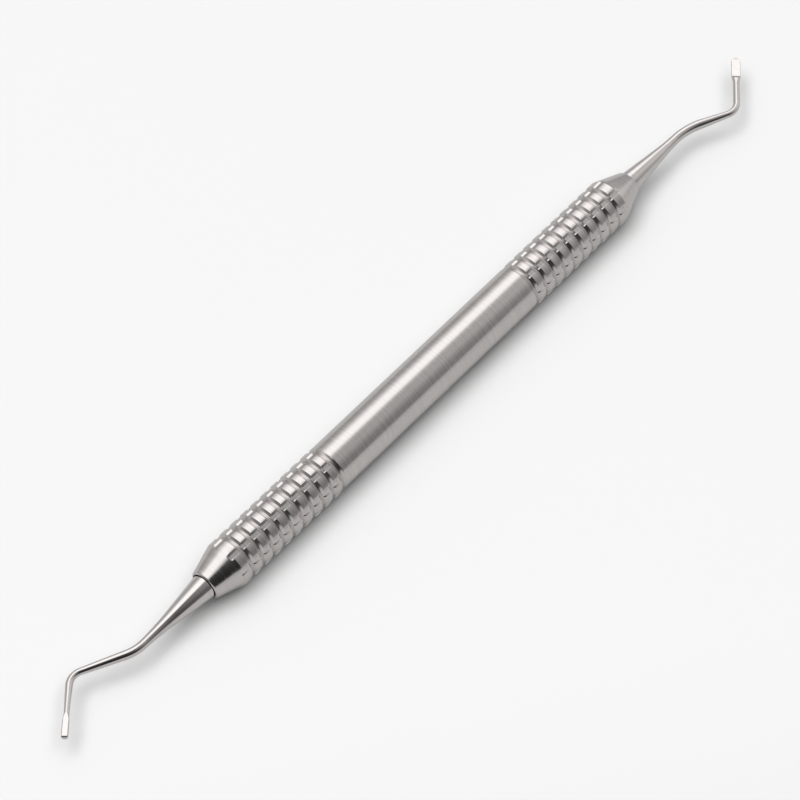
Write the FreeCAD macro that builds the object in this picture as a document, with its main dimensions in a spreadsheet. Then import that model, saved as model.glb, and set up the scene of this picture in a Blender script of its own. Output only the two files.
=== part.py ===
import FreeCAD, Part
import math
import os

import Sketcher
from FreeCAD import Placement, Rotation, Vector

# A double-ended dental filling instrument, lying as it comes to rest. Lengths are in
# millimetres and angles in degrees. X runs along the handle, with the square blade at the
# -X end and the round blade at the +X end. Both bent ends lie in one horizontal plane
# through the handle's axis. The origin is under the middle of the handle, on the surface
# that the handle lies on.

doc = FreeCAD.newDocument("FillingInstrument")
sizes = doc.addObject("Spreadsheet::Sheet", "Sizes")

DRIVING_SIZES = [
    ("barrel_diameter", 8.0, "smooth barrel between the two grips"),
    ("barrel_length", 45.86, "smooth barrel, up to the first ring groove of each grip"),
    ("grip_diameter", 8.14, "tops of the grip's blocks"),
    ("ring_count", 10, "ring grooves in each grip"),
    ("ring_pitch", 2.3, "from one ring groove to the next"),
    ("ring_top_width", 1.16, "ring groove at the blocks' tops"),
    ("ring_floor_width", 0.78, "ring groove at its floor"),
    ("ring_depth", 0.4, "ring groove below the blocks' tops"),
    ("land_length", 1.44, "from the last ring groove to the cone"),
    ("flute_count", 8, "flutes round each grip"),
    ("flute_width", 1.16, "flute at the blocks' tops"),
    ("flute_depth", 0.2, "flute's flat floor below the blocks' tops"),
    ("flute_long_slope", 0.38, "across the gentle side of a flute"),
    ("flute_short_slope", 0.2, "across the steep side of a flute"),
    ("flute_turn", 18.15, "first flute, from the top of the handle towards -Y"),
    ("cone_length", 5.0, "cone from the land to the handle's end"),
    ("square_cone_diameter", 5.12, "end of the cone that holds the square blade"),
    ("round_cone_diameter", 4.5, "end of the cone that holds the round blade"),
    ("rim_radius", 0.25, "rounding of the cone's rim"),
    ("bore_diameter", 3.2, "blind bore that the tang is pressed into"),
    ("bore_depth", 14.0, "bore from the handle's end, without the drill's point"),
    ("drill_angle", 118.0, "point angle of the bore's bottom"),
    ("recess_depth", 0.7, "counterbore round the collar"),
    ("square_gap", 0.16, "counterbore to the collar of the square blade, all round"),
    ("round_gap", 0.05, "counterbore to the collar of the round blade, all round"),
    ("tang_clearance", 0.6, "between the tang's end and the bore's bottom"),
    ("collar_stand", 0.35, "collar outside the handle, before the taper"),
    ("square_collar_diameter", 4.2, "collar at the handle"),
    ("square_taper_length", 6.4, "straight stretch of the taper"),
    ("square_taper_diameter", 2.54, "end of the straight stretch"),
    ("square_bend_start", 13.46, "from the handle's end to the first bend"),
    ("square_bend_diameter", 1.5, "rod in the first bend"),
    ("square_bend_radius", 7.4, "centre line of the first bend"),
    ("square_bend_angle", 25.9, "turn of the first bend"),
    ("square_shank_length", 7.09, "straight shank between the bends"),
    ("square_elbow_diameter", 1.14, "rod in the elbow"),
    ("square_elbow_radius", 2.7, "centre line of the elbow"),
    ("square_return_angle", 39.3, "straight end after the elbow, to the handle's axis"),
    ("square_return_length", 4.4, "from the elbow to the neck"),
    ("square_neck_diameter", 0.88, "thinnest place, at the blade's root"),
    ("square_neck_length", 0.2, "straight neck before the flare"),
    ("square_flare_length", 1.4, "from the neck to the blade's full width"),
    ("square_flat_lead", 1.3, "flat that reaches back into the flare"),
    ("square_blade_width", 1.06, "across the blade"),
    ("square_blade_length", 3.05, "full width, up to the tip"),
    ("square_blade_thickness", 0.78, "between the two flats"),
    ("square_shoulder_angle", 80.0, "slope up from the flat"),
    ("square_corner_radius", 0.25, "corners of the blade's square tip"),
    ("round_collar_diameter", 3.72, "collar at the handle"),
    ("round_taper_length", 8.35, "straight stretch of the taper"),
    ("round_taper_diameter", 2.02, "end of the straight stretch"),
    ("round_bend_start", 12.17, "from the handle's end to the first bend"),
    ("round_bend_diameter", 1.6, "rod in the first bend"),
    ("round_bend_radius", 12.7, "centre line of the first bend"),
    ("round_bend_angle", 25.2, "turn of the first bend"),
    ("round_shank_length", 4.89, "straight shank between the bends"),
    ("round_elbow_diameter", 1.14, "rod in the elbow"),
    ("round_elbow_radius", 2.85, "centre line of the elbow"),
    ("round_return_angle", 38.75, "straight end after the elbow, to the handle's axis"),
    ("round_return_length", 3.8, "from the elbow to the neck"),
    ("round_neck_diameter", 1.1, "thinnest place, at the blade's root"),
    ("round_neck_length", 0.2, "straight neck before the flare"),
    ("round_flare_length", 1.5, "from the neck to the blade's full width"),
    ("round_flat_lead", 0.1, "flat that reaches back into the flare"),
    ("round_blade_width", 1.55, "across the blade"),
    ("round_blade_length", 4.05, "full width, up to the tip"),
    ("round_blade_thickness", 0.5, "between the two flats"),
    ("round_shoulder_angle", 30.0, "slope up from the flat"),
]

for row, (name, value, note) in enumerate(DRIVING_SIZES, start=1):
    sizes.set(f"A{row}", name)
    sizes.set(f"B{row}", str(value))
    sizes.set(f"C{row}", note)
    sizes.setAlias(f"B{row}", name)
doc.recompute()

# Places along the handle that the sizes lead to, from its middle
FIRST_RING = "(Sizes.barrel_length / 2 + Sizes.ring_top_width / 2)"
LAND_START = f"({FIRST_RING} + (Sizes.ring_count - 1) * Sizes.ring_pitch + Sizes.ring_top_width / 2)"
CONE_START = f"({LAND_START} + Sizes.land_length)"
HANDLE_END = f"({CONE_START} + Sizes.cone_length)"
RECESS_FLOOR = f"({HANDLE_END} - Sizes.recess_depth)"
TANG_END = f"({HANDLE_END} - Sizes.bore_depth + Sizes.tang_clearance)"
GRIP_RADIUS = "Sizes.grip_diameter / 2"
BARREL_RADIUS = "Sizes.barrel_diameter / 2"
CUTTER_TOP = f"({GRIP_RADIUS} + Sizes.ring_depth)"

FULL_TURN = 360
UP = Vector(0, 0, 1)


def value_of(expression):
    """Works out an expression of the sizes."""
    return float(sizes.evalExpression(expression))


def origin_feature(body, role):
    """Finds a plane or axis of a body's origin."""
    return next(feature for feature in body.Origin.OriginFeatures if feature.Role == role)


def plane_sketch(body, name, role):
    """Starts a sketch on one of the body's own planes."""
    sketch = body.newObject("Sketcher::SketchObject", name)
    sketch.AttachmentSupport = (origin_feature(body, role), [""])
    sketch.MapMode = "FlatFace"
    return sketch


def bind(sketch, constraint, expression):
    """Adds a constraint whose value follows the sizes."""
    number = sketch.addConstraint(constraint)
    sketch.setExpression(f"Constraints[{number}]", expression)


def fix_point(sketch, line, end, x, y):
    """Places one end of a line by two expressions, on an axis where one of them is zero."""
    if x == "0":
        sketch.addConstraint(Sketcher.Constraint("PointOnObject", line, end, -2))
    else:
        bind(sketch, Sketcher.Constraint("DistanceX", line, end, value_of(x)), x)
    if y == "0":
        sketch.addConstraint(Sketcher.Constraint("PointOnObject", line, end, -1))
    else:
        bind(sketch, Sketcher.Constraint("DistanceY", line, end, value_of(y)), y)


def tangent_arc(before, start, finish):
    """Makes the arc from start to finish that carries on the line from before to start."""
    heading = (start - before).normalize()
    left = Vector(-heading.y, heading.x, 0)
    chord = finish - start
    reach = chord.Length ** 2 / (2 * chord.dot(left))
    centre = start + left * reach
    first, last = (start, finish) if reach > 0 else (finish, start)
    first_angle = math.atan2(first.y - centre.y, first.x - centre.x)
    last_angle = math.atan2(last.y - centre.y, last.x - centre.x)
    if last_angle < first_angle:
        last_angle += 2 * math.pi
    arc = Part.ArcOfCircle(Part.Circle(centre, UP, abs(reach)), first_angle, last_angle)
    return arc, (1, 2) if reach > 0 else (2, 1)


def draw_outline(sketch, corners, arcs=()):
    """Closes a loop through corners, each placed by two expressions of the sizes.

    A straight line leaves each corner, or, at the corners numbered in arcs, an arc that
    carries on the line before it.
    """
    points = [Vector(value_of(x), value_of(y), 0) for x, y in corners]
    ends = []
    for number, start in enumerate(points):
        finish = points[(number + 1) % len(points)]
        if number in arcs:
            arc, arc_ends = tangent_arc(points[number - 1], start, finish)
            sketch.addGeometry(arc)
            ends.append(arc_ends)
        else:
            sketch.addGeometry(Part.LineSegment(start, finish))
            ends.append((1, 2))
    for number, (x, y) in enumerate(corners):
        before = (number - 1) % len(corners)
        kind = "Tangent" if number in arcs else "Coincident"
        joint = Sketcher.Constraint(kind, before, ends[before][1], number, ends[number][0])
        sketch.addConstraint(joint)
        fix_point(sketch, number, ends[number][0], x, y)


def draw_circle(sketch, diameter):
    """Draws a circle round the sketch's origin."""
    sketch.addGeometry(Part.Circle(Vector(), UP, value_of(diameter) / 2))
    sketch.addConstraint(Sketcher.Constraint("Coincident", 0, 3, -1, 1))
    bind(sketch, Sketcher.Constraint("Diameter", 0, value_of(diameter)), diameter)


def revolve(body, sketch, kind, name):
    """Turns a sketch round its own X axis, to add or to cut."""
    feature = body.newObject(f"PartDesign::{kind}", name)
    feature.Profile = sketch
    feature.ReferenceAxis = (sketch, ["H_Axis"])
    feature.Angle = FULL_TURN
    body.Tip = feature
    return feature


def cut_grip(body, end, side):
    """Cuts the ring grooves and the flutes of the grip on one side of the barrel."""
    ring_sketch = plane_sketch(body, f"{end}_ring_sketch", "XY_Plane")
    ring_middle = f"({side} * {FIRST_RING})"
    top_half = "Sizes.ring_top_width / 2"
    floor_half = "Sizes.ring_floor_width / 2"
    floor_radius = f"{GRIP_RADIUS} - Sizes.ring_depth"
    draw_outline(ring_sketch, [
        (f"{ring_middle} - {floor_half}", floor_radius),
        (f"{ring_middle} + {floor_half}", floor_radius),
        (f"{ring_middle} + {top_half}", GRIP_RADIUS),
        (f"{ring_middle} + {top_half}", CUTTER_TOP),
        (f"{ring_middle} - {top_half}", CUTTER_TOP),
        (f"{ring_middle} - {top_half}", GRIP_RADIUS),
    ])
    ring = revolve(body, ring_sketch, "Groove", f"{end}_ring")
    rings = body.newObject("PartDesign::LinearPattern", f"{end}_rings")
    rings.Originals = [ring]
    rings.Direction = (origin_feature(body, "X_Axis"), [""])
    rings.Reversed = side < 0
    rings.setExpression("Length", "(Sizes.ring_count - 1) * Sizes.ring_pitch")
    rings.setExpression("Occurrences", "Sizes.ring_count")
    body.Tip = rings

    # A flute has a flat floor with a gentle and a steep side. It runs from the first ring
    # groove out over the cone, at one depth, and ends where the cone falls below it.
    flute_sketch = plane_sketch(body, f"{end}_flute_sketch", "YZ_Plane")
    flute_sketch.AttachmentOffset = Placement(Vector(0, 0, side), Rotation(UP, 1))
    flute_sketch.setExpression("AttachmentOffset.Base.z", f"{side} * {FIRST_RING}")
    flute_sketch.setExpression("AttachmentOffset.Rotation.Angle", "Sizes.flute_turn * 1deg")
    half_width = "Sizes.flute_width / 2"
    floor = f"{GRIP_RADIUS} - Sizes.flute_depth"
    block_edge = f"sqrt(({GRIP_RADIUS}) ^ 2 - ({half_width}) ^ 2)"
    draw_outline(flute_sketch, [
        (f"-{half_width} + Sizes.flute_short_slope", floor),
        (f"{half_width} - Sizes.flute_long_slope", floor),
        (half_width, block_edge),
        (half_width, CUTTER_TOP),
        (f"-{half_width}", CUTTER_TOP),
        (f"-{half_width}", block_edge),
    ])
    flute = body.newObject("PartDesign::Pocket", f"{end}_flute")
    flute.Profile = flute_sketch
    flute.Reversed = side > 0
    flute.setExpression("Length", f"{HANDLE_END} - {FIRST_RING}")
    body.Tip = flute
    flutes = body.newObject("PartDesign::PolarPattern", f"{end}_flutes")
    flutes.Originals = [flute]
    flutes.Axis = (origin_feature(body, "X_Axis"), [""])
    flutes.Angle = FULL_TURN
    flutes.setExpression("Occurrences", "Sizes.flute_count")
    body.Tip = flutes


def drill_socket(body, end, side):
    """Drills the blind bore for a tang, with a counterbore round the collar."""
    sketch = plane_sketch(body, f"{end}_socket_sketch", "YZ_Plane")
    sketch.AttachmentOffset = Placement(Vector(0, 0, side), Rotation())
    sketch.setExpression("AttachmentOffset.Base.z", f"{side} * {HANDLE_END}")
    draw_circle(sketch, "Sizes.bore_diameter")
    doc.recompute()
    socket = body.newObject("PartDesign::Hole", f"{end}_socket")
    socket.Profile = sketch
    socket.Reversed = side < 0
    socket.DepthType = "Dimension"
    socket.DrillPoint = "Angled"
    socket.HoleCutType = "Counterbore"
    socket.HoleCutCustomValues = True
    socket.setExpression("Diameter", "Sizes.bore_diameter")
    socket.setExpression("Depth", "Sizes.bore_depth")
    socket.setExpression("DrillPointAngle", "Sizes.drill_angle * 1deg")
    socket.setExpression("HoleCutDiameter", f"Sizes.{end}_collar_diameter + 2 * Sizes.{end}_gap")
    socket.setExpression("HoleCutDepth", "Sizes.recess_depth")
    body.Tip = socket


def round_rims(body):
    """Rounds the two outer rims where the cones end."""
    doc.recompute()
    end = value_of(HANDLE_END)
    widths = [value_of("Sizes.square_cone_diameter"), value_of("Sizes.round_cone_diameter")]
    rims = []
    turned = body.Tip
    for number, edge in enumerate(turned.Shape.Edges, start=1):
        box = edge.BoundBox
        at_end = box.XLength < 0.001 and abs(abs(box.Center.x) - end) < 0.001
        if at_end and any(abs(box.YLength - width) < 0.001 for width in widths):
            rims.append(f"Edge{number}")
    fillet = body.newObject("PartDesign::Fillet", "rounded_rims")
    fillet.Base = (turned, rims)
    fillet.setExpression("Radius", "Sizes.rim_radius")
    body.Tip = fillet


def make_handle():
    """Turns the handle and cuts its grips and sockets."""
    body = doc.addObject("PartDesign::Body", "handle")
    profile = plane_sketch(body, "handle_profile", "XY_Plane")
    draw_outline(profile, [
        (f"-{HANDLE_END}", "0"),
        (f"{HANDLE_END}", "0"),
        (f"{HANDLE_END}", "Sizes.round_cone_diameter / 2"),
        (f"{CONE_START}", GRIP_RADIUS),
        (f"{FIRST_RING}", GRIP_RADIUS),
        (f"{FIRST_RING}", BARREL_RADIUS),
        (f"-{FIRST_RING}", BARREL_RADIUS),
        (f"-{FIRST_RING}", GRIP_RADIUS),
        (f"-{CONE_START}", GRIP_RADIUS),
        (f"-{HANDLE_END}", "Sizes.square_cone_diameter / 2"),
    ])
    revolve(body, profile, "Revolution", "turned_handle")
    for end, side in (("square", -1), ("round", 1)):
        cut_grip(body, end, side)
        drill_socket(body, end, side)
    round_rims(body)
    body.setExpression("Placement.Base.z", GRIP_RADIUS)
    return body


def draw_bends(sketch, end):
    """Draws the rod's centre line: first bend, shank, elbow and the straight return.

    Gives the places where the bend starts and where the shank, elbow and return end.
    """
    bend_radius = value_of(f"Sizes.{end}_bend_radius")
    elbow_radius = value_of(f"Sizes.{end}_elbow_radius")
    shank_length = value_of(f"Sizes.{end}_shank_length")
    return_length = value_of(f"Sizes.{end}_return_length")
    down = math.radians(value_of(f"Sizes.{end}_bend_angle"))
    back = math.radians(value_of(f"Sizes.{end}_return_angle"))
    start_place = f"{HANDLE_END} + Sizes.{end}_bend_start"

    bend_centre = Vector(value_of(start_place), -bend_radius, 0)
    shank_start = bend_centre + Vector(math.sin(down), math.cos(down), 0) * bend_radius
    shank_end = shank_start + Vector(math.cos(down), -math.sin(down), 0) * shank_length
    elbow_centre = shank_end + Vector(math.sin(down), math.cos(down), 0) * elbow_radius
    return_start = elbow_centre + Vector(math.sin(back), -math.cos(back), 0) * elbow_radius
    return_end = return_start + Vector(math.cos(back), math.sin(back), 0) * return_length
    quarter = math.pi / 2
    bend = sketch.addGeometry(Part.ArcOfCircle(
        Part.Circle(bend_centre, UP, bend_radius), quarter - down, quarter))
    shank = sketch.addGeometry(Part.LineSegment(shank_start, shank_end))
    elbow = sketch.addGeometry(Part.ArcOfCircle(
        Part.Circle(elbow_centre, UP, elbow_radius), -quarter - down, -quarter + back))
    last = sketch.addGeometry(Part.LineSegment(return_start, return_end))

    fix_point(sketch, bend, 2, start_place, "0")
    bind(sketch, Sketcher.Constraint("DistanceX", bend, 3, bend_centre.x), start_place)
    bind(sketch, Sketcher.Constraint("Radius", bend, bend_radius), f"Sizes.{end}_bend_radius")
    sketch.addConstraint(Sketcher.Constraint("Tangent", bend, 1, shank, 1))
    bind(sketch, Sketcher.Constraint("Angle", shank, -down), f"-Sizes.{end}_bend_angle * 1deg")
    bind(sketch, Sketcher.Constraint("Distance", shank, shank_length), f"Sizes.{end}_shank_length")
    sketch.addConstraint(Sketcher.Constraint("Tangent", shank, 2, elbow, 1))
    bind(sketch, Sketcher.Constraint("Radius", elbow, elbow_radius), f"Sizes.{end}_elbow_radius")
    sketch.addConstraint(Sketcher.Constraint("Tangent", elbow, 2, last, 1))
    bind(sketch, Sketcher.Constraint("Angle", last, back), f"Sizes.{end}_return_angle * 1deg")
    bind(sketch, Sketcher.Constraint("Distance", last, return_length), f"Sizes.{end}_return_length")
    return Vector(value_of(start_place), 0, 0), shank_end, return_start, return_end


def stretch_at(path, place):
    """Finds the stretch of a rod's path whose drawn line or arc ends at a place."""
    for number, edge in enumerate(path.Shape.Edges, start=1):
        if edge.Vertexes[-1].Point.isEqual(place, 0.001):
            return (path, [f"Edge{number}"])
    raise RuntimeError(f"{path.Label} has no stretch there")


def path_sketch(body, name, path, place, turn=Rotation()):
    """Starts a sketch across the end of a stretch of the path, turned as told."""
    sketch = body.newObject("Sketcher::SketchObject", name)
    sketch.AttachmentSupport = stretch_at(path, place)
    sketch.MapMode = "NormalToEdge"
    sketch.MapPathParameter = 1
    sketch.AttachmentOffset = Placement(Vector(), turn)
    return sketch


# Turns that lay a sketch's X along a stretch of the rod, with its Y across the bend plane or up
LEVEL = Rotation(Vector(0, 0, -1), Vector(-1, 0, 0), Vector(0, 1, 0), "XYZ")
UPRIGHT = Rotation(Vector(0, 0, -1), Vector(0, 1, 0), Vector(1, 0, 0), "XYZ")


def make_insert(label, end, full_round):
    """Makes one insert: tang, collar, tapered rod with two bends, and ground blade."""
    body = doc.addObject("PartDesign::Body", label)
    collar_radius = f"Sizes.{end}_collar_diameter / 2"
    taper_start = f"{HANDLE_END} + Sizes.collar_stand"
    bend_start = f"{HANDLE_END} + Sizes.{end}_bend_start"
    rod_profile = plane_sketch(body, f"{end}_rod_profile", "XY_Plane")
    draw_outline(rod_profile, [
        (TANG_END, "0"),
        (TANG_END, "Sizes.bore_diameter / 2"),
        (RECESS_FLOOR, "Sizes.bore_diameter / 2"),
        (RECESS_FLOOR, collar_radius),
        (taper_start, collar_radius),
        (f"{taper_start} + Sizes.{end}_taper_length", f"Sizes.{end}_taper_diameter / 2"),
        (bend_start, f"Sizes.{end}_bend_diameter / 2"),
        (bend_start, "0"),
    ], arcs=(5,))
    revolve(body, rod_profile, "Revolution", f"{end}_tapered_rod")

    path = plane_sketch(body, f"{end}_path", "XY_Plane")
    bend_place, shank_place, elbow_place, neck_place = draw_bends(path, end)
    doc.recompute()
    bends = (("bend", bend_place, bend_place), ("elbow", shank_place, elbow_place))
    for name, section_place, stretch_place in bends:
        section = path_sketch(body, f"{end}_{name}_section", path, section_place)
        draw_circle(section, f"Sizes.{end}_{name}_diameter")
        bent = body.newObject("PartDesign::AdditivePipe", f"{end}_{name}")
        bent.Profile = section
        bent.Spine = stretch_at(path, stretch_place)
        body.Tip = bent
    shank_profile = path_sketch(body, f"{end}_shank_profile", path, shank_place, LEVEL)
    draw_outline(shank_profile, [
        (f"-Sizes.{end}_shank_length", "0"),
        (f"-Sizes.{end}_shank_length", f"Sizes.{end}_bend_diameter / 2"),
        ("0", f"Sizes.{end}_elbow_diameter / 2"),
        ("0", "0"),
    ])
    revolve(body, shank_profile, "Revolution", f"{end}_shank")

    # The return is turned with the neck, flare and blade, and then two flats are ground.
    half_width = f"Sizes.{end}_blade_width / 2"
    half_thickness = f"Sizes.{end}_blade_thickness / 2"
    neck_end = f"Sizes.{end}_neck_length"
    flare_end = f"({neck_end} + Sizes.{end}_flare_length)"
    tip = f"({flare_end} + Sizes.{end}_blade_length)"
    corner_radius = half_width if full_round else f"Sizes.{end}_corner_radius"
    corners = [
        (f"-Sizes.{end}_return_length", "0"),
        (f"-Sizes.{end}_return_length", f"Sizes.{end}_elbow_diameter / 2"),
        ("0", f"Sizes.{end}_neck_diameter / 2"),
        (neck_end, f"Sizes.{end}_neck_diameter / 2"),
        (flare_end, half_width),
        (f"{tip} - {corner_radius}", half_width),
    ]
    if not full_round:
        corners.append((tip, f"{half_width} - {corner_radius}"))
    corners.append((tip, "0"))
    blade_profile = path_sketch(body, f"{end}_blade_profile", path, neck_place, LEVEL)
    draw_outline(blade_profile, corners, arcs=(3, 5))
    revolve(body, blade_profile, "Revolution", f"{end}_turned_blade")

    flat_start = f"{flare_end} - Sizes.{end}_flat_lead"
    shoulder = f"{half_width} / tan(Sizes.{end}_shoulder_angle * 1deg)"
    flat_sketch = path_sketch(body, f"{end}_flat_sketch", path, neck_place, UPRIGHT)
    draw_outline(flat_sketch, [
        (flat_start, half_thickness),
        (f"{tip} + {half_width}", half_thickness),
        (f"{tip} + {half_width}", f"{half_thickness} + {half_width}"),
        (f"{flat_start} - {shoulder}", f"{half_thickness} + {half_width}"),
    ])
    flat = body.newObject("PartDesign::Pocket", f"{end}_flat")
    flat.Profile = flat_sketch
    flat.SideType = "Symmetric"
    flat.setExpression("Length", f"4 * {half_width}")
    body.Tip = flat
    flats = body.newObject("PartDesign::Mirrored", f"{end}_flats")
    flats.Originals = [flat]
    flats.MirrorPlane = (origin_feature(body, "XY_Plane"), [""])
    body.Tip = flats
    body.setExpression("Placement.Base.z", GRIP_RADIUS)
    return body


handle = make_handle()
square_insert = make_insert("square_blade_insert", "square", full_round=False)
square_insert.Placement.Rotation = Rotation(UP, FULL_TURN / 2)
round_insert = make_insert("round_blade_insert", "round", full_round=True)
doc.recompute()

for item in doc.Objects:
    if "Invalid" in item.State or "Error" in item.State:
        raise RuntimeError(f"{item.Name} could not be made")
os.makedirs("parts", exist_ok=True)
for body in (handle, square_insert, round_insert):
    if body.Shape.isNull() or not body.Shape.isValid():
        raise RuntimeError(f"{body.Label} has no sound shape")
    body.Shape.exportStep(f"parts/{body.Label}.step")
    box = body.Shape.BoundBox
    print(body.Label, round(body.Shape.Volume, 2), box)
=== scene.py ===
import math

import bmesh
import bpy
from mathutils import Matrix, Vector


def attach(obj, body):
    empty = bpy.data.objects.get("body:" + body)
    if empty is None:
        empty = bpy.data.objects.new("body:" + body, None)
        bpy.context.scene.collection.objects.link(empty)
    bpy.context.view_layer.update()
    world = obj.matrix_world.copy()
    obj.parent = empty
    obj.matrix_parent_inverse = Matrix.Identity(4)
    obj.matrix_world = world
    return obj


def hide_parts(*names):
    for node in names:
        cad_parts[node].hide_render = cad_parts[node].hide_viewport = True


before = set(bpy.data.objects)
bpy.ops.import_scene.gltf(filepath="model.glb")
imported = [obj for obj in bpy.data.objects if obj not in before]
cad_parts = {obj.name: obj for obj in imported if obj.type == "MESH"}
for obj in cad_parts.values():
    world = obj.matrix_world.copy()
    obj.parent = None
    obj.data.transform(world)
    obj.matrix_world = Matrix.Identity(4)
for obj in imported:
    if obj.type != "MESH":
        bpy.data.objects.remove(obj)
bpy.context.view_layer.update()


# ---------------------------------------------------------------------------
# Handle. One bar of stainless steel, turned on a lathe: a smooth barrel between two grips,
# and a cone at each end with a socket for its insert. Ring grooves and flutes milled along
# the bar cut each grip into blocks, and fine satin lines of the last turning stay on it.

MM = 0.001
AXIS_HEIGHT = 4.07
COLUMNS = 192

barrel_radius = 4.0
grip_radius = 4.07
barrel_half = 22.93
ring_count = 10
ring_pitch = 2.3
ring_top = 1.16
ring_floor = 0.78
leaning_wall = 0.44
ring_depth = 0.4
top_rounding = 0.03
floor_rounding = 0.1
cone_start = 46.23
handle_half = 51.23
near_cone_radius = 2.56
near_recess_radius = 2.31
far_cone_radius = 2.25
far_recess_radius = 1.91
rim_radius = 0.25
recess_depth = 0.7
bore_radius = 1.6
bore_depth = 14.0
bore_point = 0.96

flute_count = 8
flute_turn = math.radians(18.15)
flute_floor = 3.87
flute_rise = 0.158
long_slope_start = 0.2
long_slope = 0.38
short_slope_start = 0.38
short_slope = 0.2
flute_ends = 1.0
flute_root = 2.9
column_lead = math.radians(4.1)


class Shade:
    """One output of a shader node, so that shader maths is written as plain sums."""

    def __init__(self, tree, socket=None):
        self.tree = tree
        self.socket = socket

    def node(self, kind, settings=None, sockets=None, out=0):
        """Adds a node: its settings first, then the values or links of its sockets."""
        new = self.tree.nodes.new(kind)
        for name, value in (settings or {}).items():
            setattr(new, name, value)
        for name, value in (sockets or {}).items():
            if isinstance(value, Shade):
                self.tree.links.new(value.socket, new.inputs[name])
            else:
                new.inputs[name].default_value = value
        return Shade(self.tree, new.outputs[out] if new.outputs else None)

    def math(self, operation, first, second):
        return self.node("ShaderNodeMath", {"operation": operation}, {0: first, 1: second})

    def __add__(self, other):
        return self.math("ADD", self, other)

    def __radd__(self, other):
        return self.math("ADD", other, self)

    def __sub__(self, other):
        return self.math("SUBTRACT", self, other)

    def __rsub__(self, other):
        return self.math("SUBTRACT", other, self)

    def __mul__(self, other):
        return self.math("MULTIPLY", self, other)

    def __rmul__(self, other):
        return self.math("MULTIPLY", other, self)

    def root(self):
        """The square root of this value."""
        return self.math("SQRT", self, 0.0)

    def step(self, low, high):
        """Rises smoothly from 0 to 1 while this value goes from low to high."""
        return self.node("ShaderNodeMapRange", {"interpolation_type": "SMOOTHSTEP"},
                         {"Value": self, "From Min": low, "From Max": high})

    def split(self):
        """The X, Y and Z of this vector, each by itself."""
        return [self.node("ShaderNodeSeparateXYZ", {}, {0: self}, out=axis) for axis in range(3)]

    def mix(self, first, second):
        """The first colour where this value is 0, and the second where it is 1."""
        return self.node("ShaderNodeMix", {"data_type": "RGBA"}, {0: self, 6: first, 7: second},
                         out=2)


def make_steel(name, tone, roughness, line_depth, line_share, line_roughness=0.0,
               groove_radius=0.0):
    """Steel with fine lines round the X axis, such as turning and polishing leave.

    The lines are a bump, and they change the colour and the roughness a little. Inside the groove
    radius, between the cones, the floor of a groove is rougher, and its colour is darkened there as
    painted shade in the recess.
    """
    material = bpy.data.materials.new(name)
    material.use_nodes = True
    material.node_tree.nodes.clear()
    sheet = Shade(material.node_tree)
    place = sheet.node("ShaderNodeTexCoord", out=3)
    across = sheet.node("ShaderNodeMapping", {},
                        {"Vector": place, "Scale": (3000.0, 120.0, 120.0)})
    lines = sheet.node("ShaderNodeTexNoise", {},
                       {"Vector": across, "Scale": 1.0, "Detail": 3.0, "Roughness": 0.6})
    patches = sheet.node("ShaderNodeTexNoise", {},
                         {"Vector": place, "Scale": 220.0, "Detail": 2.0})
    bump = sheet.node("ShaderNodeBump", {},
                      {"Strength": 1.0, "Distance": line_depth, "Height": lines})
    line_tone = tuple(part * (1 - line_share) for part in tone)
    colour = lines.step(0.35, 0.65).mix(line_tone + (1.0,), tone + (1.0,))
    rough = roughness + (patches - 0.5) * 0.06 + (lines - 0.5) * line_roughness
    if groove_radius:
        along, aside, above = place.split()
        above = above - AXIS_HEIGHT * MM
        reach = (aside * aside + above * above).root()
        groove = 1 - reach.step((groove_radius - 0.03) * MM, (groove_radius + 0.03) * MM)
        cone_end = cone_start + 0.2
        groove = groove * (1 - (along * along).step((cone_start * MM) ** 2, (cone_end * MM) ** 2))
        # Painted shade: the groove floors' colour is darkened, as if shade fell in the recess; the
        # extra roughness is the floor's own.
        groove_shade_tone = tuple(part * share for part, share in zip(tone, (0.8, 0.77, 0.77)))
        colour = groove.mix(colour, groove_shade_tone + (1.0,))
        rough = rough + groove * 0.08
    surface = sheet.node("ShaderNodeBsdfPrincipled", {},
                         {"Base Color": colour, "Metallic": 1.0, "Roughness": rough,
                          "Normal": bump})
    sheet.node("ShaderNodeOutputMaterial", {}, {"Surface": surface})
    return material


def finish_piece(name, bm, material, sharp_angle):
    """Turns a finished bmesh, in millimetres, into an object in metres."""
    bmesh.ops.remove_doubles(bm, verts=bm.verts, dist=0.0005)
    bmesh.ops.recalc_face_normals(bm, faces=bm.faces)
    bmesh.ops.scale(bm, verts=bm.verts, vec=(MM, MM, MM))
    for face in bm.faces:
        face.smooth = True
    mesh = bpy.data.meshes.new(name)
    bm.to_mesh(mesh)
    bm.free()
    mesh.set_sharp_from_angle(angle=math.radians(sharp_angle))
    mesh.materials.append(material)
    piece = bpy.data.objects.new(name, mesh)
    bpy.context.scene.collection.objects.link(piece)
    return piece


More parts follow.
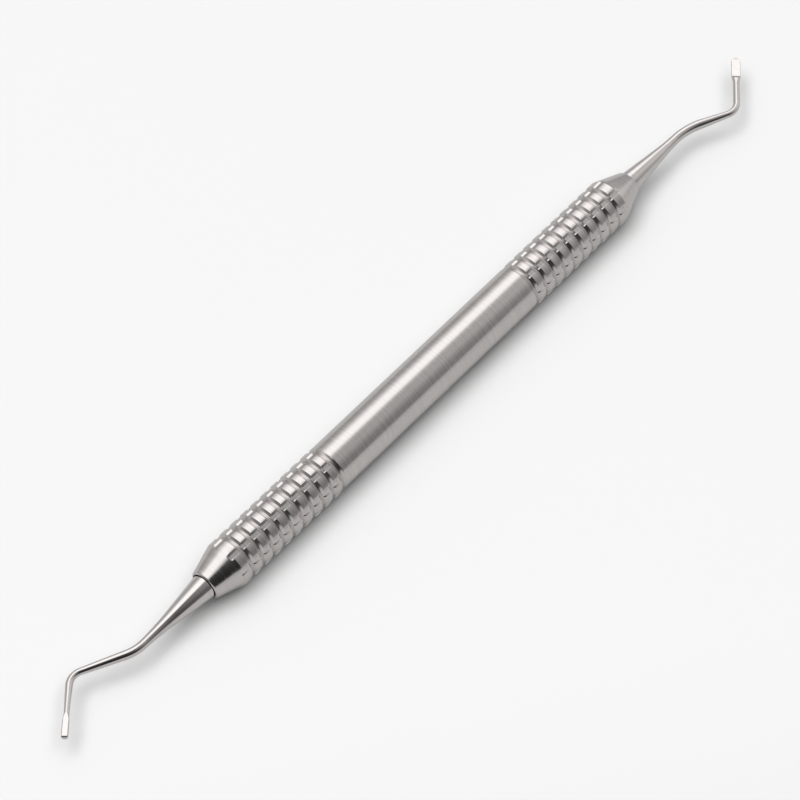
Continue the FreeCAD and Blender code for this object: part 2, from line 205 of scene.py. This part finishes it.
def handle_end(side, cone_radius, recess_radius):
    """The outline of one half of the handle, from the barrel to the bottom of the bore.

    The wall of each groove that faces the near end leans back, and the other one is steep.
    """
    outline = []
    steep = ring_floor / 2
    leaning = ring_top / 2 - leaning_wall
    inner, outer = (leaning, steep) if side < 0 else (steep, leaning)
    for ring in range(ring_count):
        middle = barrel_half + ring_top / 2 + ring * ring_pitch
        first_radius = barrel_radius if ring == 0 else grip_radius
        outline += [
            (middle - ring_top / 2, first_radius, top_rounding),
            (middle - inner, grip_radius - ring_depth, floor_rounding),
            (middle + outer, grip_radius - ring_depth, floor_rounding),
            (middle + ring_top / 2, grip_radius, top_rounding),
        ]
    slope = (cone_radius - grip_radius) / (handle_half - cone_start)
    steps = 10
    for number in range(steps + 1):
        along = flute_ends * number / steps
        outline.append((cone_start + along, grip_radius + slope * along, 0.0))
    outline += [
        (handle_half, cone_radius, rim_radius),
        (handle_half, recess_radius, 0.0),
        (handle_half - recess_depth, recess_radius, 0.0),
        (handle_half - recess_depth, bore_radius, 0.0),
        (handle_half - bore_depth, bore_radius, 0.0),
        (handle_half - bore_depth - bore_point, 0.0, 0.0),
    ]
    return [(side * place, radius, rounding) for place, radius, rounding in outline]


outline = (handle_end(-1, near_cone_radius, near_recess_radius)[::-1]
           + handle_end(1, far_cone_radius, far_recess_radius))
bm = bmesh.new()
points = [bm.verts.new((place, 0.0, radius)) for place, radius, rounding in outline]
for first, second in zip(points, points[1:]):
    bm.edges.new((first, second))
for size, segments in ((rim_radius, 6), (floor_rounding, 6), (top_rounding, 1)):
    corners = [point for point, (place, radius, rounding) in zip(points, outline)
               if rounding == size]
    bmesh.ops.bevel(bm, geom=corners, offset=size, segments=segments, profile=0.5,
                    affect="VERTICES", material=-1)

# The columns stand evenly on the barrel. On the grips they close up beside each flute, so
# that its floor and its two sides keep straight edges.
flute_share = 2 * math.pi / flute_count
column = 2 * math.pi / COLUMNS
first_column = flute_turn - column_lead
flute_edges = [math.atan2(-long_slope_start - long_slope, flute_floor + flute_rise),
               math.atan2(-long_slope_start, flute_floor),
               math.atan2((short_slope_start - long_slope_start) / 2, flute_floor),
               math.atan2(short_slope_start, flute_floor),
               math.atan2(short_slope_start + short_slope, flute_floor + flute_rise)]
block_columns = COLUMNS // flute_count - len(flute_edges) + 1
block_step = (flute_share + flute_edges[0] - flute_edges[-1]) / block_columns
bmesh.ops.rotate(bm, verts=bm.verts, cent=(0, 0, 0),
                 matrix=Matrix.Rotation(first_column, 3, "X"))
bmesh.ops.spin(bm, geom=bm.verts[:] + bm.edges[:], cent=(0, 0, 0), axis=(1, 0, 0),
               angle=2 * math.pi, steps=COLUMNS, use_merge=True)
long_tilt = flute_rise / long_slope
short_tilt = flute_rise / short_slope
for vert in bm.verts:
    radius = math.hypot(vert.co.y, vert.co.z)
    if abs(vert.co.x) < barrel_half + ring_top / 2 or radius < flute_root:
        continue
    number = round((math.atan2(-vert.co.y, vert.co.z) - first_column) / column) % COLUMNS
    share, number = divmod(number, COLUMNS // flute_count)
    if number < len(flute_edges):
        turn = flute_edges[number]
        reach = [flute_floor / math.cos(turn),
                 (flute_floor - long_tilt * long_slope_start)
                 / (math.cos(turn) + long_tilt * math.sin(turn)),
                 (flute_floor - short_tilt * short_slope_start)
                 / (math.cos(turn) - short_tilt * math.sin(turn))]
        radius = min(radius, max(reach))
    else:
        turn = flute_edges[-1] + block_step * (number - len(flute_edges) + 1)
    turn += flute_turn + flute_share * share
    vert.co.y = -radius * math.sin(turn)
    vert.co.z = radius * math.cos(turn)
bmesh.ops.translate(bm, verts=bm.verts, vec=(0, 0, AXIS_HEIGHT))

satin_steel = make_steel("turned_satin_steel", (0.582, 0.553, 0.537), roughness=0.17,
                         line_depth=0.000006, line_share=0.08, line_roughness=0.3,
                         groove_radius=grip_radius - ring_depth + 0.05)
handle = finish_piece("turned_handle", bm, satin_steel, 14)
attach(handle, "root")
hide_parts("handle")


# ---------------------------------------------------------------------------
# Near insert, with the square blade. Stainless steel rod, turned to a taper, bent twice, and
# polished. Its end is flared and ground flat on two sides, and its tang is pressed into the
# near socket, which leaves a thin dark gap round the collar.

ROD_COLUMNS = 64
tang_gap = 0.6
collar_stand = 0.35


class Rod:
    """A rod that grows from its open end, as it is turned and bent."""

    def __init__(self, start, radius):
        self.bm = bmesh.new()
        self.centre = Vector((start, 0, 0))
        self.heading = Vector((1, 0, 0))
        self.radius = radius
        self.height = radius
        lay = Matrix.Translation(self.centre) @ Matrix.Rotation(math.pi / 2, 4, "Y")
        made = bmesh.ops.create_circle(self.bm, cap_ends=True, segments=ROD_COLUMNS,
                                       radius=radius, matrix=lay)
        self.edges = list({edge for vert in made["verts"] for edge in vert.link_edges})

    def grow(self, radius, step=0.0, height=None, turn=0.0, pivot=None):
        """Extrudes the open end by a step, or by a turn round a pivot, to a new size.

        Its section is round unless a height, up from the rod's axis, is given.
        """
        grown = bmesh.ops.extrude_edge_only(self.bm, edges=self.edges)["geom"]
        verts = [item for item in grown if isinstance(item, bmesh.types.BMVert)]
        self.edges = [item for item in grown if isinstance(item, bmesh.types.BMEdge)]
        if pivot is None:
            bmesh.ops.translate(self.bm, verts=verts, vec=self.heading * step)
            self.centre += self.heading * step
        else:
            turning = Matrix.Rotation(turn, 3, "Z")
            bmesh.ops.rotate(self.bm, verts=verts, cent=pivot, matrix=turning)
            self.centre = pivot + turning @ (self.centre - pivot)
            self.heading = turning @ self.heading
        height = height or radius
        share = radius / self.radius
        bmesh.ops.scale(self.bm, verts=verts, vec=(share, share, height / self.height),
                        space=Matrix.Translation(-self.centre))
        self.radius = radius
        self.height = height

    def bend(self, turn, bend_radius, steps=20):
        """Bends the rod by a turn, to the left where it is positive."""
        aside = Vector((-self.heading.y, self.heading.x, 0)) * math.copysign(bend_radius, turn)
        pivot = self.centre + aside
        for number in range(steps):
            self.grow(self.radius, turn=turn / steps, pivot=pivot)

    def close(self):
        """Closes the open end with a flat face."""
        bmesh.ops.contextual_create(self.bm, geom=self.edges)


def make_insert(size):
    """Grows one insert from its tang to the tip of its blade, along +X."""
    rod = Rod(handle_half - bore_depth + tang_gap, bore_radius)
    rod.grow(bore_radius, bore_depth - tang_gap - recess_depth)
    rod.grow(size["collar"])
    rod.grow(size["collar"], recess_depth + collar_stand)
    rod.grow(size["taper"], size["taper_length"])
    slope = (size["taper"] - size["collar"]) / size["taper_length"]
    reach = size["bend_start"] - collar_stand - size["taper_length"]
    curve = (size["bend"] - size["taper"] - slope * reach) / reach ** 2
    steps = 12
    for number in range(1, steps + 1):
        along = reach * number / steps
        rod.grow(size["taper"] + slope * along + curve * along ** 2, reach / steps)

    bend_turn = math.radians(size["bend_angle"])
    return_turn = bend_turn + math.radians(size["return_angle"])
    rod.bend(-bend_turn, size["bend_radius"])
    rod.grow(size["elbow"], size["shank_length"])
    rod.bend(return_turn, size["elbow_radius"])
    rod.grow(size["neck"], size["return_length"])

    neck = rod.centre.copy()
    rod.grow(size["neck"], size["neck_length"])
    flare = size["flare_length"]
    rise = size["half_width"] - size["neck"]
    flare_arc = (flare ** 2 + rise ** 2) / (2 * rise)
    steps = 16
    for number in range(1, steps + 1):
        along = flare * number / steps
        radius = size["neck"] + flare_arc - math.sqrt(flare_arc ** 2 - along ** 2)
        height = radius + (size["flare_height"] - radius) * number / steps
        rod.grow(radius, flare / steps, height)
    corner = size["corner"]
    rod.grow(size["half_width"], size["blade_length"] - corner, size["flare_height"])
    steps = 12
    before = 0.0
    for number in range(1, steps + 1):
        turn = math.pi / 2 * number / steps
        along = corner * math.sin(turn)
        radius = size["half_width"] - corner * (1 - math.cos(turn))
        rod.grow(max(radius, 0.002), along - before, max(radius, 0.002))
        before = along
    rod.close()

    # The flat faces come from pressing the grown rod down to a limit, from the neck onwards:
    # the flat of the blade, the shoulder before it, the fan on the flare, and the tip's bevel.
    flat_start = size["neck_length"] + flare - size["flat_lead"]
    tip = size["neck_length"] + flare + size["blade_length"]
    shoulder = math.tan(math.radians(size["shoulder_angle"]))
    fan_slope = 0.08
    for vert in rod.bm.verts:
        along = (vert.co - neck).dot(rod.heading)
        if along > 0:
            ahead = max(0.0, flat_start - along)
            limit = size["half_thickness"] + min(ahead * shoulder, size["step"] + ahead * fan_slope)
            past = max(0.0, along - tip + size["bevel_length"]) / size["bevel_length"]
            top = limit - size["bevel_drop"] * past ** 2
            vert.co.z = max(-limit, min(top, vert.co.z))
    return rod.bm


near_size = {
    "collar": 2.1, "taper": 1.27, "taper_length": 6.4, "bend_start": 13.46, "bend": 0.75,
    "bend_radius": 7.4, "bend_angle": 25.9, "shank_length": 7.09, "elbow": 0.57,
    "elbow_radius": 2.7, "return_angle": 39.3, "return_length": 4.4, "neck": 0.44,
    "neck_length": 0.2, "flare_length": 1.4, "flare_height": 0.54, "flat_lead": 0.3,
    "half_width": 0.55, "blade_length": 3.05, "half_thickness": 0.37, "shoulder_angle": 5.0,
    "step": 1.0, "corner": 0.3, "bevel_length": 0.3, "bevel_drop": 0.28,
}
bm = make_insert(near_size)
bmesh.ops.rotate(bm, verts=bm.verts, cent=(0, 0, 0), matrix=Matrix.Rotation(math.pi, 3, "Z"))
bmesh.ops.translate(bm, verts=bm.verts, vec=(0, 0, AXIS_HEIGHT))
polished_steel = make_steel("polished_rod_steel", (0.605, 0.574, 0.558), roughness=0.12,
                            line_depth=0.000002, line_share=0.04)
near_insert = finish_piece("near_insert", bm, polished_steel, 30)
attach(near_insert, "root")
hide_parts("square_blade_insert")


# ---------------------------------------------------------------------------
# Far insert, with the round blade. The same steel and the same making, on a thinner taper,
# with a wider, thinner blade that is ground down in a step and rounded at its tip.

far_size = {
    "collar": 1.86, "taper": 1.01, "taper_length": 8.35, "bend_start": 12.17, "bend": 0.8,
    "bend_radius": 12.7, "bend_angle": 25.2, "shank_length": 4.89, "elbow": 0.57,
    "elbow_radius": 2.85, "return_angle": 38.75, "return_length": 3.8, "neck": 0.55,
    "neck_length": 0.2, "flare_length": 1.65, "flare_height": 0.55, "flat_lead": 0.0,
    "half_width": 0.775, "blade_length": 3.9, "half_thickness": 0.25, "shoulder_angle": 25.0,
    "step": 0.2, "corner": 0.775, "bevel_length": 0.3, "bevel_drop": 0.1,
}
bm = make_insert(far_size)
bmesh.ops.translate(bm, verts=bm.verts, vec=(0, 0, AXIS_HEIGHT))
far_insert = finish_piece("far_insert", bm, polished_steel, 18)
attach(far_insert, "root")
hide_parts("round_blade_insert")


# ---------------------------------------------------------------------------
# Floor. A plain white studio surface that carries the instrument and keeps its shadow. It has
# painted shade that makes it a little darker towards the camera's side, and the steel mirrors a
# slightly darker white.

floor_half = 3.0
floor_white = (0.368, 0.368, 0.368, 1.0)
floor_shaded_edge = (0.345, 0.346, 0.346, 1.0)
floor_mirrored = (0.285, 0.285, 0.285, 1.0)

bm = bmesh.new()
bmesh.ops.create_grid(bm, x_segments=1, y_segments=1, size=floor_half)
floor_mesh = bpy.data.meshes.new("floor")
bm.to_mesh(floor_mesh)
bm.free()
white_floor = bpy.data.materials.new("white_floor")
white_floor.use_nodes = True
white_floor.node_tree.nodes.clear()
sheet = Shade(white_floor.node_tree)
seen = sheet.node("ShaderNodeLightPath")
x, y = sheet.node("ShaderNodeTexCoord", out=3).split()[:2]
# Painted shade: the floor's colour grows a little darker towards the camera's side.
edge_shade = (-0.63 * x - 0.8 * y).step(0.05, 0.12)
colour = seen.mix(floor_mirrored, edge_shade.mix(floor_white, floor_shaded_edge))
surface = sheet.node("ShaderNodeBsdfDiffuse", {}, {"Color": colour})
sheet.node("ShaderNodeOutputMaterial", {}, {"Surface": surface})
floor_mesh.materials.append(white_floor)
floor = bpy.data.objects.new("floor", floor_mesh)
bpy.context.scene.collection.objects.link(floor)


# ---------------------------------------------------------------------------
# Studio light. A wide soft light hangs over the far side (+Y), the side of the camera is
# dark down to a grey band near the floor, and both grow lighter towards the far end (+X).
# The camera itself sees a plain pale backdrop.

grey_wall = 0.48
dark_side = 0.06
floor_band = 0.66
softbox_light = 0.98
backdrop_light = 0.93

world = bpy.data.worlds.new("studio")
bpy.context.scene.world = world
world.use_nodes = True
world.node_tree.nodes.clear()
sheet = Shade(world.node_tree)
x, y, z = sheet.node("ShaderNodeTexCoord", out=0).split()
not_behind = x.step(-0.75, -0.45)
far_side = (grey_wall + 0.25 * z.step(0.1, 0.6)) * (0.4 + 0.6 * not_behind)
camera_side = (dark_side + 0.85 * x.step(-0.1, 0.8)) * (1 - 0.5 * (0 - y).step(0.35, 0.85))
band = 1 - z.step(0.08, 0.26)
camera_side = camera_side * (1 - band) + floor_band * band
sides = camera_side + (far_side - camera_side) * y.step(-0.15, 0.1)
softbox = (y - 0.45 * x).step(-0.18, 0.08) - y.step(0.52, 0.86)
softbox = softbox * not_behind * (1 - x.step(0.5, 1.0)) * z.step(0.15, 0.4)
light = sides + softbox_light * softbox
camera_ray = sheet.node("ShaderNodeLightPath")
light = light + (backdrop_light - light) * camera_ray
backdrop = sheet.node("ShaderNodeBackground", {}, {"Color": (1.0, 1.0, 1.0, 1.0),
                                                   "Strength": light})
sheet.node("ShaderNodeOutputWorld", {}, {"Surface": backdrop})


# Two soft lamps, one overhead and one over the far side, shape the shadow on the floor. The
# steel doesn't mirror them.
for name, size, energy, place in (("overhead_lamp", 2.4, 88.0, (-0.2, -0.1, 1.9)),
                                  ("far_lamp", 0.8, 7.4, (-0.3, 0.6, 1.75))):
    lamp_data = bpy.data.lights.new(name, "AREA")
    lamp_data.shape = "SQUARE"
    lamp_data.size = size
    lamp_data.energy = energy
    lamp = bpy.data.objects.new(name, lamp_data)
    lamp.location = place
    lamp.rotation_euler = (-lamp.location).to_track_quat("-Z", "Y").to_euler()
    lamp.visible_glossy = False
    bpy.context.scene.collection.objects.link(lamp)


# ---------------------------------------------------------------------------
# Camera and colour, from the photograph's place above the near end.

camera_data = bpy.data.cameras.new("camera")
camera_data.sensor_width = 36.0
camera_data.lens = 169.875
camera_data.clip_start = 0.01
camera = bpy.data.objects.new("camera", camera_data)
forward = Vector((0.43650, 0.37581, -0.81745))
right = Vector((0.65245, -0.75783, 0.0)).normalized()
up = right.cross(forward).normalized()
turn = Matrix((right, up, -forward.normalized())).transposed().to_4x4()
camera.matrix_world = Matrix.Translation((-0.26371, -0.22200, 0.48709)) @ turn
bpy.context.scene.collection.objects.link(camera)
bpy.context.scene.camera = camera
bpy.context.scene.view_settings.view_transform = "Standard"
